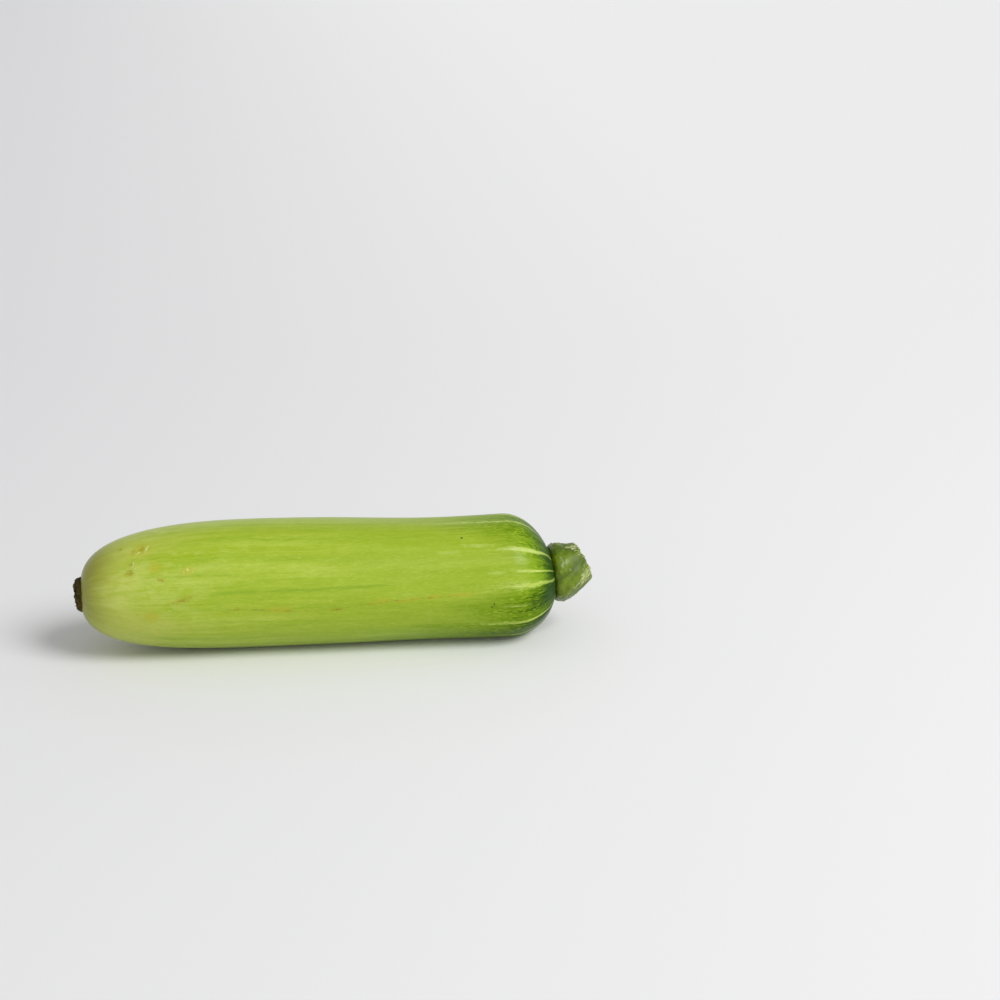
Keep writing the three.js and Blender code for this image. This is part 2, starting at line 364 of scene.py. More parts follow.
# The fruit. Lengths run from its blossom end, "fromStem" ones over the skin from the stem, and
# heights from the surface that it lies on. Angles go round from the side away from the camera, over
# the top at 90.
fruitPlan = {
    "length": 184.6,
    "radius": 24.4,
    "belly": (70, 0.55, 42),  # place along, swell, spread
    "waist": (135, -0.75, 27),
    "blossomCap": (69, 2.94),  # reach, bluntness
    "stemCap": (20.5, 2.06),
    "axisHeight": (25.2, 23.35),
    "bow": (2.6, 1.6),
    "blossomLean": (1.2, 30),  # degrees, reach
    "stemLean": (6.5, 27),
    "ribs": (10, 0.25, 60),  # count, depth, reach from the stem
    "unevenness": 0.13,
    "relief": {"stripe": -0.10, "scuff": -0.05, "paleLine": 0.07},
    "rings": 300,
    "columns": 330,
    # Pale stripes that run out from under the stem: angle, brightness, half width, bright length and
    # faint length over the skin, how much it strays sideways, and how far its first bit turns aside.
    "stripes": [
        (99.5, 0.62, 0.9, 46, 80, 0.6, 3), (135.5, 0.88, 1.65, 30, 44, 0.5, -6),
        (157, 0.92, 0.8, 20, 44, 0.3, -1), (169.8, 0.44, 1.7, 31, 54, 0.6, 3),
        (210, 0.52, 0.9, 36, 62, 0.6, 3), (237, 0.55, 0.8, 28, 56, 0.6, 2),
        (254, 0.75, 1.0, 30, 50, 0.6, 1), (271, 0.60, 0.7, 26, 44, 0.5, -2),
        (289, 0.85, 1.2, 32, 60, 0.7, -3), (311, 0.60, 0.8, 24, 42, 0.4, 2),
        (327, 0.80, 1.0, 32, 56, 0.7, 1), (345, 0.60, 0.7, 26, 46, 0.5, -1),
        (3, 0.85, 1.2, 30, 54, 0.6, 2), (22, 0.60, 0.7, 24, 40, 0.5, -2),
        (41, 0.85, 1.1, 32, 62, 0.6, -3), (60, 0.60, 0.7, 28, 44, 0.5, 1),
        (79, 0.80, 0.9, 30, 52, 0.6, 2),
    ],
    "stripeFoot": {"start": 11.5, "widening": (4.0, 22.0), "narrowest": 0.34, "turning": 12.0, "fade": 14},
    # Dark green that spreads from the stem, and where it falls short.
    "darkGreen": {
        "start": 11.0,
        "reach": 42,
        "sway": (9, 223),  # by, angle of the longest reach
        "gaps": [(33, 160, 24), (14, 127, 13), (14, 200, 13)],  # by, angle, spread in degrees
    },
    # Long soft veins: angle, drift in degrees, start and end along, half width, depth of colour.
    "veins": [
        (119, 0, 24, 158, 3.6, 0.5), (216, 0, 18, 160, 3.0, 0.5), (153, 0, 26, 68, 1.0, 0.7),
        (171, -7, 40, 134, 1.25, 1.1), (197, 3, 30, 120, 1.1, 0.5), (98, 0, 30, 140, 2.2, 0.5),
        (233, -2, 20, 150, 2.4, 0.6), (270, 0, 25, 155, 3.2, 0.6), (305, 3, 22, 150, 2.0, 0.7),
        (342, -4, 28, 160, 3.4, 0.8), (25, 2, 20, 150, 2.6, 0.7), (62, -3, 26, 156, 2.8, 0.7),
    ],
    # Marks from growing and handling: place along, angle, half length, half width, turn in degrees.
    "marks": {
        "scuff": [
            (19.0, 143.5, 2.9, 2.4, 0), (24.0, 118, 3.0, 1.6, -66), (20.8, 119, 1.9, 1.1, -60),
            (15.8, 110, 1.4, 1.0, 20), (19.6, 134, 1.2, 1.9, -80), (30.8, 154, 2.3, 1.2, 30),
            (38.4, 173.4, 7.4, 1.8, -16), (58.6, 183.6, 1.9, 0.9, -12), (96.6, 187, 3.4, 1.3, 6),
            (101, 177.6, 1.0, 0.8, 0), (61, 305, 4.0, 1.5, -12), (118, 38, 3.0, 1.3, 20),
            (33, 348, 2.6, 1.8, -30), (141, 262, 3.4, 1.4, -5),
        ],
        "paleLine": [
            (25.9, 118.4, 2.9, 0.60, -68), (22.8, 121.5, 1.6, 0.50, -30), (20.6, 134, 2.4, 0.42, -72),
            (21.4, 139, 1.7, 0.40, -40), (41.2, 145, 1.7, 0.40, -80), (43.0, 146.5, 1.3, 0.38, -60),
            (39.6, 147, 1.2, 0.36, -50), (26.8, 123.5, 1.8, 0.36, -40), (61.6, 303.4, 3.2, 0.5, -20),
            (118.4, 39.6, 2.6, 0.45, 30),
        ],
        "brokenStripe": [
            (152, 130.5, 9.0, 1.5, 2), (140, 136.5, 7.0, 1.3, 0), (158, 157.8, 5.0, 1.0, 0),
            (165.5, 190, 8.5, 0.9, 0), (150, 283, 6.0, 1.2, 0), (148, 8, 6.5, 1.3, 2),
            (151, 46, 6.0, 1.2, -2), (146, 322, 4.6, 1.0, 0),
        ],
        "stain": [
            (29.0, 141, 3.6, 2.8, 0), (26.5, 189.5, 4.6, 3.0, 0), (113, 180.5, 5.0, 1.6, -6),
            (144, 176.8, 7.0, 1.2, -3), (75, 185.6, 7.0, 1.9, 0), (124, 180.0, 9.0, 1.1, -6),
            (134, 177.8, 5.0, 1.2, -4), (23.8, 118, 5.0, 4.2, 0), (41, 147, 3.6, 2.4, 0),
            (48, 330, 4.0, 2.4, 0), (84, 14, 4.4, 2.0, -10),
        ],
        "speck": [
            (146, 121, 0.85, 0.7, 0), (156.8, 187.0, 0.6, 0.9, 20), (54.6, 132, 0.5, 0.5, 0),
            (156, 190, 0.75, 0.65, 0), (88, 232, 0.7, 0.6, 0), (127, 318, 0.8, 0.7, 0),
            (66, 21, 0.7, 0.7, 0), (107, 66, 0.8, 0.6, 0), (151, 352, 0.7, 0.8, 0), (43, 252, 0.7, 0.7, 0),
        ],
    },
    # Dotted scratches: depth, places along and the angle at each.
    "scratches": [
        (0.8, (52, 66, 82, 96, 105, 125, 150), (183.5, 184.8, 187.5, 187.2, 183.2, 179.6, 176.8)),
        (0.34, (62, 78, 96, 112), (170.2, 168.4, 167.2, 164.8)),
    ],
    "scratchHalfWidth": 0.7,
    # Skin patterns: how closely they repeat along the fruit and across it, layers, raggedness.
    "patterns": {
        "bands": (0.009, 0.17, 3, 0.5),
        "streaks": (0.032, 0.62, 4, 0.62),
        "dashes": (0.16, 1.4, 3, 0.6),
        "flecks": (0.52, 2.2, 2, 0.5),
        "pores": (1.7, 1.9, 2, 0.5),
        "clouds": (0.022, 0.05, 3, 0.5),
        "mottle": (0.13, 0.26, 4, 0.65),
    },
    # Where a colour comes in or fades out, from the blossom tip.
    "fromTip": {"blossomEnd": (62, 18), "palePatch": (84, 24), "deeper": (88, 135), "oliveHaloAndShade": (28, 8)},
    "fromStem": {
        "fleck": (16, 30), "fray": (14, 52), "crisp": (13, 36), "stripe": (12, 29), "core": (16, 28),
    },
    # How strongly each of these colours covers what is under it.
    "strength": {
        "deeper": 0.45, "palePatch": 0.5, "pore": 0.28, "dash": 0.24, "darkGrain": 0.18, "paleGrain": 0.16,
        "stripeCore": 0.8, "brokenStripe": 0.75, "oliveHaloAndShade": 0.78, "stain": 0.6, "scratch": 0.6,
        "scuff": 0.62, "scuffCore": 0.5, "paleLine": 0.85,
    },
    "wax": {"roughness": (0.32, 0.45), "wornRoughness": 0.3, "specular": (0.36, 0.05), "poreDepth": 0.05},
    "colours": {
        "body": paint(155, 177, 38), "bodyDeep": paint(140, 167, 20), "bodyPale": paint(167, 187, 60),
        # The halo colour around the blossom scar is partly its own olive and partly painted shade on the
        # tip.
        "blossomEnd": paint(176, 186, 76), "palePatch": paint(189, 198, 102), "oliveHaloAndShade": paint(134, 134, 44),
        "vein": paint(130, 162, 20), "leaf": paint(102, 136, 10), "deep": paint(33, 66, 0),
        "stripe": paint(171, 191, 84), "stripeCore": paint(198, 210, 136), "fleck": paint(150, 176, 48),
        "pore": paint(182, 200, 94), "scuff": paint(150, 147, 24), "scuffCore": paint(124, 112, 16),
        "paleLine": paint(206, 212, 138), "stain": paint(174, 168, 36), "speck": paint(66, 76, 18),
    },
}


def capOpening(cap, fromEnd):
    reach, bluntness = cap
    inside = np.maximum(1 - fromEnd / reach, 0)
    return (1 - inside**bluntness) ** (1 / bluntness)


def capDepth(cap, radius):
    reach, bluntness = cap
    share = np.minimum(radius / fruitPlan["radius"], 1)
    return reach * (1 - (1 - share**bluntness) ** (1 / bluntness))


def fruitRadiusAt(along):
    girth = fruitPlan["radius"]
    for place, swell, spread in (fruitPlan["belly"], fruitPlan["waist"]):
        girth = girth + swell * hump(along - place, spread)
    fromStem = fruitPlan["length"] - along
    return girth * capOpening(fruitPlan["blossomCap"], along) * capOpening(fruitPlan["stemCap"], fromStem)


def bowAt(along):
    share = along / fruitPlan["length"]
    single, double = fruitPlan["bow"]
    return single * np.sin(np.pi * share) + double * np.sin(2 * np.pi * share)


def axisHeightAt(along):
    low, high = fruitPlan["axisHeight"]
    return low + (high - low) * along / fruitPlan["length"]


def leanAt(lean, fromEnd):
    degrees, reach = lean
    return math.tan(math.radians(degrees)) * np.maximum(1 - fromEnd / reach, 0) ** 1.5


# Where a spot of the skin lies, given how far it is along, its angle and its distance from the axis.
# What would reach below the surface is flattened on it.
def fruitPlace(along, around, radius):
    up = radius * np.sin(around)
    lean = leanAt(fruitPlan["blossomLean"], along)
    lean = lean - leanAt(fruitPlan["stemLean"], fruitPlan["length"] - along)
    height = axisHeightAt(along) + up
    rested = 0.5 * (height + np.sqrt(height**2 + 0.03))
    return np.stack([along + lean * up, radius * np.cos(around) + bowAt(along), rested], -1)


# Distance over the skin from the blossom tip to a place along the fruit.
skinStations = fruitPlan["length"] * (1 - np.cos(np.linspace(0, np.pi, 3000))) / 2
skinSteps = np.hypot(np.diff(skinStations), np.diff(fruitRadiusAt(skinStations)))
skinDistances = np.concatenate([[0], np.cumsum(skinSteps)])


# How a line wanders as it runs along. Each number gives a line of its own.
def wander(along, length, number, seed):
    return softNoise(np.stack([along / length, 0 * along + number, 0 * along], -1), seed)


def stripeField(along, around, fromStem):
    foot = fruitPlan["stripeFoot"]
    field = np.full(along.shape, -1.0)
    radius = fruitRadiusAt(along)
    fromStart = fromStem - foot["start"]
    spread = smoothStep(*foot["widening"], fromStart)
    turning = 1 - smoothStep(0, foot["turning"], fromStart)
    for number, line in enumerate(fruitPlan["stripes"]):
        angle, brightness, halfWidth, bright, faint, stray, aside = line
        strayed = wander(fromStem, 13, 7.3 * number, 40)
        distance = radius * turnFrom(around, angle + aside * turning) + stray * spread * strayed
        width = halfWidth * (foot["narrowest"] + (1 - foot["narrowest"]) * spread)
        reach = 1 - smoothStep(bright, faint + foot["fade"], fromStem)
        field = np.maximum(field, brightness * reach * (1 - np.abs(distance) / width) + reach - 1)
    return field


def darkField(around, fromStem):
    plan = fruitPlan["darkGreen"]
    sway, swayAngle = plan["sway"]
    reach = plan["reach"] + sway * np.cos(around - math.radians(swayAngle))
    for gap, angle, spread in plan["gaps"]:
        reach = reach - gap * hump(np.degrees(turnFrom(around, angle)), spread)
    return 1 - (fromStem - plan["start"]) / reach


def veinField(along, around):
    field = np.zeros(along.shape)
    radius = fruitRadiusAt(along)
    for number, (angle, drift, start, end, halfWidth, depth) in enumerate(fruitPlan["veins"]):
        centre = angle + drift * (along - start) / (end - start)
        distance = radius * turnFrom(around, centre) + 0.9 * wander(along, 30, 5.1 * number, 60)
        ends = smoothStep(start, start + 16, along) * (1 - smoothStep(end - 30, end, along))
        field = np.maximum(field, depth * ends * (1 - np.abs(distance) / halfWidth))
    return field


# How deep inside the nearest mark each place is: 1 at its middle, 0 at its edge, below 0 outside.
def markField(kind, along, around):
    field = np.full(along.shape, -2.0)
    radius = fruitRadiusAt(along)
    for place, angle, halfLength, halfWidth, turn in fruitPlan["marks"][kind]:
        ahead = along - place
        aside = radius * turnFrom(around, angle)
        turned = math.radians(turn)
        length = (ahead * math.cos(turned) + aside * math.sin(turned)) / halfLength
        width = (aside * math.cos(turned) - ahead * math.sin(turned)) / halfWidth
        field = np.maximum(field, 1 - np.hypot(length, width))
    return field


def scratchField(along, around):
    field = np.full(along.shape, -2.0)
    for depth, places, angles in fruitPlan["scratches"]:
        distance = np.abs(fruitRadiusAt(along) * turnFrom(around, np.interp(along, places, angles)))
        start, end = places[0], places[-1]
        ends = smoothStep(start, start + 3, along) * (1 - smoothStep(end - 8, end, along))
        field = np.maximum(field, depth * ends * (1 - distance / fruitPlan["scratchHalfWidth"]))
    return field


def buildFruit():
    length = fruitPlan["length"]
    girth = fruitPlan["radius"]
    share = np.arange(1, fruitPlan["rings"]) / fruitPlan["rings"]
    eased = share - np.sin(2 * np.pi * share) / (2 * np.pi)
    along = length * (0.35 * share + 0.65 * eased)[:, None]
    around = np.radians(-90 + 360 * np.arange(fruitPlan["columns"]) / fruitPlan["columns"])[None, :]
    along, around = np.broadcast_arrays(along, around)
    overSkin = np.interp(along, skinStations, skinDistances)
    fromStem = skinDistances[-1] - overSkin
    skinMap = onRings(overSkin, around, girth)
    fields = {
        "skinMap": skinMap,
        "stripe": stripeField(along, around, fromStem),
        "dark": darkField(around, fromStem),
        "vein": veinField(along, around),
        "scratch": scratchField(along, around),
        "fromStem": fromStem,
    }
    for kind in fruitPlan["marks"]:
        fields[kind] = markField(kind, along, around)
    ribCount, ribDepth, ribReach = fruitPlan["ribs"]
    depths = fruitPlan["relief"]
    relief = ribDepth * np.exp(-(length - along) / ribReach) * np.cos(ribCount * around)
    relief += fruitPlan["unevenness"] * layeredNoise(skinMap * [0.018, 0.07, 0.07] + 9, 11)
    relief += depths["stripe"] * np.clip(fields["stripe"], 0, 1) * (1 - smoothStep(14, 40, fromStem))
    relief += depths["scuff"] * smoothStep(0.2, 0.9, fields["scuff"])
    relief += depths["paleLine"] * smoothStep(0, 0.8, fields["paleLine"])
    endFade = smoothStep(0, 6, overSkin) * smoothStep(0, 6, fromStem)
    radius = fruitRadiusAt(along) + relief * endFade
    rings = fruitPlace(along, around, radius)
    blossomHeight, stemHeight = fruitPlan["axisHeight"]
    tips = np.array([(0, 0, blossomHeight), (length, 0, stemHeight)])
    return wrapSkin("fruitSkin", rings + originShift, tips + originShift, fields)


# The fruit's blossom tip is its lowest x, and its widest sides are level with the middle of its box.
fruitLow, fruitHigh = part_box("fruit")
stations = np.linspace(1, fruitPlan["length"] - 1, 400)[:, None]
sides = fruitPlace(stations, np.radians([[0.0, 180.0]]), fruitRadiusAt(stations))
originShift = np.array([
    fruitLow.x / mm,
    (fruitLow.y + fruitHigh.y) / 2 / mm - (sides[..., 1].min() + sides[..., 1].max()) / 2,
    0.0,
])


def fruitFinish():
    material, mixing = newMaterial("waxySkin", fruitPlan["colours"], "body")
    skin = mixing.stored("skinMap", wide=True)
    bands, streaks, dashes, flecks, pores, clouds, mottle = (
        mixing.noise(skin, (along, across, across), layers, raggedness)
        for along, across, layers, raggedness in fruitPlan["patterns"].values()
    )
    strength = fruitPlan["strength"]
    tipReach = fruitPlan["fromTip"]
    stemReach = fruitPlan["fromStem"]
    fromTip = mixing.steer("DOT_PRODUCT", skin, (1, 0, 0))
    fromStem = mixing.stored("fromStem")

    # Long bands and fine streaks over the whole skin, paler towards the blossom end.
    bandStreak = mixing.swayed(bands, (streaks, 0.9), (dashes, 0.5))
    mixing.tint("bodyDeep", bandStreak, 0.44, 0.86)
    mixing.tint("bodyPale", bandStreak, 0.53, 0.19)
    paleEdge = mixing.swayed(fromTip, (bandStreak, 34), (clouds, 60))
    mixing.tint("blossomEnd", paleEdge, *tipReach["blossomEnd"])
    mixing.tint("bodyDeep", fromTip, *tipReach["deeper"], strength["deeper"])
    cloudMottle = mixing.swayed(clouds, (mottle, 0.9))
    nearTip = mixing.step(fromTip, *tipReach["palePatch"])
    palePatch = mixing.times(nearTip, mixing.step(cloudMottle, 0.50, 0.70), strength["palePatch"])
    mixing.coat(palePatch, "palePatch")
    poreShare = mixing.times(mixing.step(flecks, 0.58, 0.72), mixing.step(pores, 0.45, 0.6))
    mixing.coat(mixing.times(poreShare, strength["pore"]), "pore")
    mixing.tint("vein", dashes, 0.50, 0.78, strength["dash"])
    grain = mixing.plus(flecks, (mottle, 0.6))
    mixing.tint("vein", grain, 0.80, 0.62, strength["darkGrain"])
    mixing.tint("pore", grain, 0.80, 1.0, strength["paleGrain"])
    vein = mixing.times(mixing.stored("vein"), mixing.step(dashes, 0.25, 0.62, 0.35, 1.0))
    mixing.tint("vein", vein, 0.0, 1.0)

    # Dark green from the stem, in ragged streaks with pale flecks on it.
    frayed = mixing.swayed(mixing.stored("dark"), (bands, 0.6), (streaks, 0.9), (dashes, 0.6))
    mixing.tint("leaf", frayed, -0.65, 0.60)
    mixing.tint("deep", frayed, 0.18, 0.86)
    fleckShare = mixing.times(
        mixing.step(flecks, 0.51, 0.63),
        mixing.step(frayed, -0.45, 0.2),
        mixing.step(fromStem, *stemReach["fleck"], 0.3, 1.0),
        mixing.step(streaks, 0.36, 0.58, 0.15, 1.0),
        mixing.step(frayed, 0.92, 0.55, 0.05, 0.8),
    )
    mixing.coat(fleckShare, "fleck")

    # Pale stripes, crisp at the stem, that break up into flecks further out.
    fray = mixing.step(fromStem, *stemReach["fray"], 0.45, 1.8)
    brokenUp = mixing.swayed(mixing.times(mixing.calc("SUBTRACT", flecks, 0.52), fray), (dashes, fray))
    stripe = mixing.calc("ADD", mixing.stored("stripe"), brokenUp)
    nearStripe = mixing.step(mixing.stored("stripe"), -0.8, 0.2)
    crisp = mixing.step(fromStem, *stemReach["crisp"], 2.4, 1.0)
    edge = mixing.times(mixing.calc("ADD", stripe, 0.08), crisp)
    full = mixing.step(fromStem, *stemReach["stripe"], 0.52, 1.0)
    mixing.coat(mixing.times(mixing.step(edge, -0.15, 0.70), nearStripe, full), "stripe")
    coreShare = mixing.times(mixing.step(stripe, 0.35, 0.95, 0.0, strength["stripeCore"]), nearStripe)
    mixing.coat(mixing.times(coreShare, mixing.step(fromStem, *stemReach["core"])), "stripeCore")
    broken = mixing.plus(mixing.stored("brokenStripe"), (brokenUp, 0.7))
    mixing.tint("stripe", broken, 0.0, 1.0, strength["brokenStripe"])

    # Olive around the blossom scar, partly its own colour and partly painted shade, which reaches further
    # on the upper side.
    upperSideShadeReach = mixing.steer("DOT_PRODUCT", skin, (0, 0, -0.22))
    oliveHaloAndShade = mixing.swayed(mixing.calc("ADD", fromTip, upperSideShadeReach), (dashes, 4), (streaks, 16), (clouds, 18))
    mixing.tint("oliveHaloAndShade", oliveHaloAndShade, *tipReach["oliveHaloAndShade"], strength["oliveHaloAndShade"])

    # Marks with ragged edges.
    ragged = mixing.calc("ADD", mixing.calc("SUBTRACT", pores, 0.5), mixing.calc("SUBTRACT", flecks, 0.5))
    stain = mixing.calc("ADD", mixing.stored("stain"), ragged)
    mixing.tint("stain", stain, -0.1, 0.9, strength["stain"])
    dotted = mixing.times(mixing.step(mixing.stored("scratch"), 0.1, 0.7), mixing.step(flecks, 0.50, 0.60))
    mixing.coat(mixing.times(dotted, strength["scratch"]), "scuffCore")
    scuff = mixing.plus(mixing.stored("scuff"), (ragged, 1.7))
    worn = mixing.step(scuff, 0.0, 0.9)
    mixing.coat(mixing.times(worn, strength["scuff"]), "scuff")
    mixing.tint("scuffCore", scuff, 0.5, 1.25, strength["scuffCore"])
    paleLine = mixing.calc("ADD", mixing.stored("paleLine"), ragged)
    mixing.tint("paleLine", paleLine, 0.1, 0.7, strength["paleLine"])
    mixing.tint("speck", mixing.stored("speck"), 0.05, 0.65)

    wax = fruitPlan["wax"]
    waxy = mixing.step(mixing.plus(clouds, (pores, 0.3)), 0.45, 0.9, *wax["roughness"])
    ridges = mixing.plus(mixing.times(dashes, 0.9), (pores, 0.5))
    mixing.finish({
        "Base Color": mixing.colour,
        "Roughness": mixing.plus(waxy, (worn, wax["wornRoughness"])),
        "Specular IOR Level": mixing.step(frayed, -0.55, 0.45, *wax["specular"]),
        "Sheen Weight": 0.10,
        "Sheen Roughness": 0.35,
        "Normal": mixing.bump(ridges, wax["poreDepth"]),
    })
    return material


settle(buildFruit(), fruitFinish(), "fruit")
print("zucchini: fruit built")


# The stem in its own frame: +X points out of the fruit's end, and the origin is on the fruit's tip.
stemPlan = {
    "length": 12.0,
    "outline": [  # radius, along
        (9.9, -1.9), (10.9, -0.9), (11.4, 0.3), (11.55, 1.5), (11.3, 2.9), (10.75, 4.3), (10.0, 5.9),
        (9.1, 7.7), (8.3, 9.3), (7.85, 10.3), (7.45, 11.1), (6.9, 11.65), (6.1, 11.95),
    ],
    "lift": 0.1,
    "side": 0.3,
    "rise": 3.6,
    "cutTilt": (17, 4),  # up, back
    "cutDish": 0.7,
    "cutBulge": (0.55, 212, 46),  # by, angle, spread in degrees
    # Ridges and peeled places: angle at the cut, spread, strength.
    "ridges": [(54, 19, 1.0), (124, 19, 0.95), (182, 19, 1.1), (247, 19, 1.2), (325, 19, 1.05)],
    "peeled": [(203, 30, 1.0), (92, 18, 0.8), (345, 24, 0.7)],
    "ridgeDepth": 0.55,
    "girth": 9.0,  # radius at which its patterns are laid round it
    "twist": 22,
    "sunk": 0.3,
    "rows": 150,
    "cutRows": 40,
    "columns": 224,
    "warts": 30,
    "wartPlaces": (0.6, 6.6),
    "wartSizes": (0.45, 1.05),
    "relief": {"lumps": 0.36, "bark": 0.03, "torn": 0.32, "warts": 0.26},
    "rimNoise": [(0.34, 0.5), (0.10, 1.9)],  # strength, fineness
    "cutNoise": [(0.20, 0.9), (0.16, 2.4)],
    # Bark patterns: how closely they repeat along the stem and across it, layers, raggedness.
    "patterns": {
        "threads": (0.8, 1.4, 3, 0.6),
        "blotches": (1.6, 0.35, 3, 0.5),
        "grain": (4.0, 3.2, 2, 0.5),
        "hairs": (2.2, 3.0, 3, 0.65),
        "crumbs": (11.0, 2.2, 2, 0.5),
    },
    "roughness": {"foot": 0.27, "wax": 0.46, "torn": 0.62},
    "fineRelief": 0.12,
    # These are the stem's greens painted somewhat darker, partly as painted shade over the whole stem.
    "colours": {
        "green": paint(93, 114, 9), "groove": paint(70, 92, 4), "crest": paint(117, 139, 30),
        # The foot colour is painted shade where the stem meets the fruit.
        "foot": paint(60, 76, 4), "wart": paint(120, 142, 36), "fibre": paint(188, 196, 130),
        "fibreDark": paint(84, 106, 18), "cut": paint(196, 194, 138), "cutRim": paint(146, 164, 78),
        "cutDot": paint(116, 118, 54),
    },
}


# A smooth line through a few points, by distance along them.
def smoothLine(points, count):
    points = np.array(points, float)
    ends = np.concatenate([[2 * points[0] - points[1]], points, [2 * points[-1] - points[-2]]])
    place = np.linspace(0, len(points) - 1 - 1e-9, count)
    index = place.astype(int)
    part = (place - index)[:, None]
    before, start, finish, after = (ends[index + step] for step in range(4))
    curve = 2 * start + (finish - before) * part
    curve = curve + (2 * before - 5 * start + 4 * finish - after) * part**2
    curve = curve + (3 * start - before - 3 * finish + after) * part**3
    return curve / 2


# How far along, at what angle and how far out each point lies when an outline is turned.
def turnedOutline(plan, start=0):
    radius, along = np.hsplit(smoothLine(plan["outline"], plan["rows"]), 2)
    angles = start + 360 * np.arange(plan["columns"]) / plan["columns"]
    return np.broadcast_arrays(along, np.radians(angles), radius)


# The tallest of several humps round the stem, each with its angle, spread and height.
def tallestHump(wound, humps):
    tallest = np.zeros(wound.shape)
    for angle, spread, height in humps:
        tallest = np.maximum(tallest, height * hump(turnFrom(wound, angle), math.radians(spread)))
    return tallest


# Where a place on the stem lies, before and after the stem is set on the fruit's leaning end.
def stemPlace(along, around, radius):
    share = np.clip(along / stemPlan["length"], 0, 1)
    tilt, turn = (math.radians(degrees) * share for degrees in stemPlan["cutTilt"])
    up = radius * np.sin(around)
    side = radius * np.cos(around)
    y = side * np.cos(turn) + stemPlan["side"]
    z = up * np.cos(tilt) + stemPlan["rise"] * share**2 + stemPlan["lift"]
    seat = -stemPlan["sunk"] - capDepth(fruitPlan["stemCap"], np.hypot(y, z))
    x = np.maximum(along - up * np.sin(tilt) - side * np.sin(turn), seat)
    return np.stack([x, y, z], -1)


def setOnStemEnd(places):
    lean = math.radians(fruitPlan["stemLean"][0])
    x, y, z = np.moveaxis(places, -1, 0)
    out = fruitPlan["length"] + x * math.cos(lean) - z * math.sin(lean)
    height = fruitPlan["axisHeight"][1] + x * math.sin(lean) + z * math.cos(lean)
    return np.stack([out, y + bowAt(fruitPlan["length"]), height], -1) + originShift


# The stem's radius with ridges, lumps, warts and fibres, and the fields that its finish reads.
def stemSurface(along, around, radius, wartField):
    share = np.clip(along / stemPlan["length"], 0, 1)
    wound = around - math.radians(stemPlan["twist"]) * (1 - share)
    crest = tallestHump(wound, stemPlan["ridges"])
    peeled = tallestHump(wound, stemPlan["peeled"])
    fibreMap = onRings(along * 0.16, wound, stemPlan["girth"])
    lumpMap = onRings(along, around, stemPlan["girth"])
    reached = share + 0.42 * peeled + 0.16 * softNoise(lumpMap * 0.4, 21)
    fibrous = smoothStep(0.70, 0.98, reached) * (0.35 + 0.65 * peeled)
    depths = stemPlan["relief"]
    relief = stemPlan["ridgeDepth"] * (0.30 + 0.70 * share) * (1.6 * crest - 0.75)
    relief += depths["lumps"] * (1 - 0.6 * share) * layeredNoise(lumpMap * [0.30, 0.22, 0.22], 22)
    relief += (depths["bark"] + depths["torn"] * fibrous) * layeredNoise(fibreMap * [1.4, 1.1, 1.1], 23)
    relief += depths["warts"] * smoothStep(0, 1, wartField)
    return radius + relief, crest, fibrous, fibreMap


def stemWarts(along, around):
    random = np.random.default_rng(31)
    field = np.full(along.shape, -1.0)
    for _ in range(stemPlan["warts"]):
        place = random.uniform(*stemPlan["wartPlaces"])
        angle = random.uniform(0, 360)
        size = random.uniform(*stemPlan["wartSizes"])
        distance = np.hypot(along - place, 11 * turnFrom(around, angle))
        field = np.maximum(field, 1 - distance / size)
    return field


def buildStem():
    along, around, radius = turnedOutline(stemPlan, -90)
    share = np.clip(along / stemPlan["length"], 0, 1)
    warts = stemWarts(along, around)
    swollen, crest, fibrous, fibreMap = stemSurface(along, around, radius, warts)
    ragged = unevenness(onRings(0, around, 7), stemPlan["rimNoise"], 24)
    bulge, bulgeAngle, bulgeSpread = stemPlan["cutBulge"]
    bulged = bulge * hump(np.degrees(turnFrom(around, bulgeAngle)), bulgeSpread)
    along = along + (ragged + bulged) * smoothStep(0.55, 1.0, share)

    # The cut closes the stem from its rim inwards, in a shallow dish of torn fibres.
    inward = (np.arange(1, stemPlan["cutRows"]) / stemPlan["cutRows"])[:, None]
    rimRadius, rimAlong, rimAround = swollen[-1:], along[-1:], around[-1:]
    cutRadius = rimRadius * (1 - inward)
    cutMap = onRings(0, rimAround, cutRadius)
    torn = unevenness(cutMap, stemPlan["cutNoise"], 26, 3)
    dish = stemPlan["cutDish"] * (1 - (1 - inward) ** 3)
    level = stemPlan["length"] + (rimAlong - stemPlan["length"]) * np.exp(-inward * 9)
    cutAlong = level - dish + torn * smoothStep(0.0, 0.12, inward) - 0.16 * np.exp(-inward * 40)

    allAlong = np.concatenate([along, cutAlong])
    allRadius = np.concatenate([swollen, cutRadius])
    allAround = np.concatenate([around, np.broadcast_to(rimAround, cutRadius.shape)])
    rings = stemPlace(allAlong, allAround, allRadius)
    underside = np.array([-6.0, stemPlan["side"], stemPlan["lift"]])
    middle = rings[-1].mean(0)
    spread = np.ones(cutRadius.shape)
    fields = {
        "fibreMap": np.concatenate([fibreMap, cutMap + [40, 0, 0]]),
        "crest": np.concatenate([crest, 0.5 * spread]),
        "fibrous": np.concatenate([fibrous, spread]),
        "wart": np.concatenate([warts, -spread]),
        "share": np.concatenate([along / stemPlan["length"], spread]),
        "cut": np.concatenate([smoothStep(0.985, 1.0, share), spread]),
        "cutDepth": np.concatenate([0 * share, inward * spread]),
    }
    tips = setOnStemEnd(np.array([underside, middle]))
    return wrapSkin("stemStub", setOnStemEnd(rings), tips, fields)


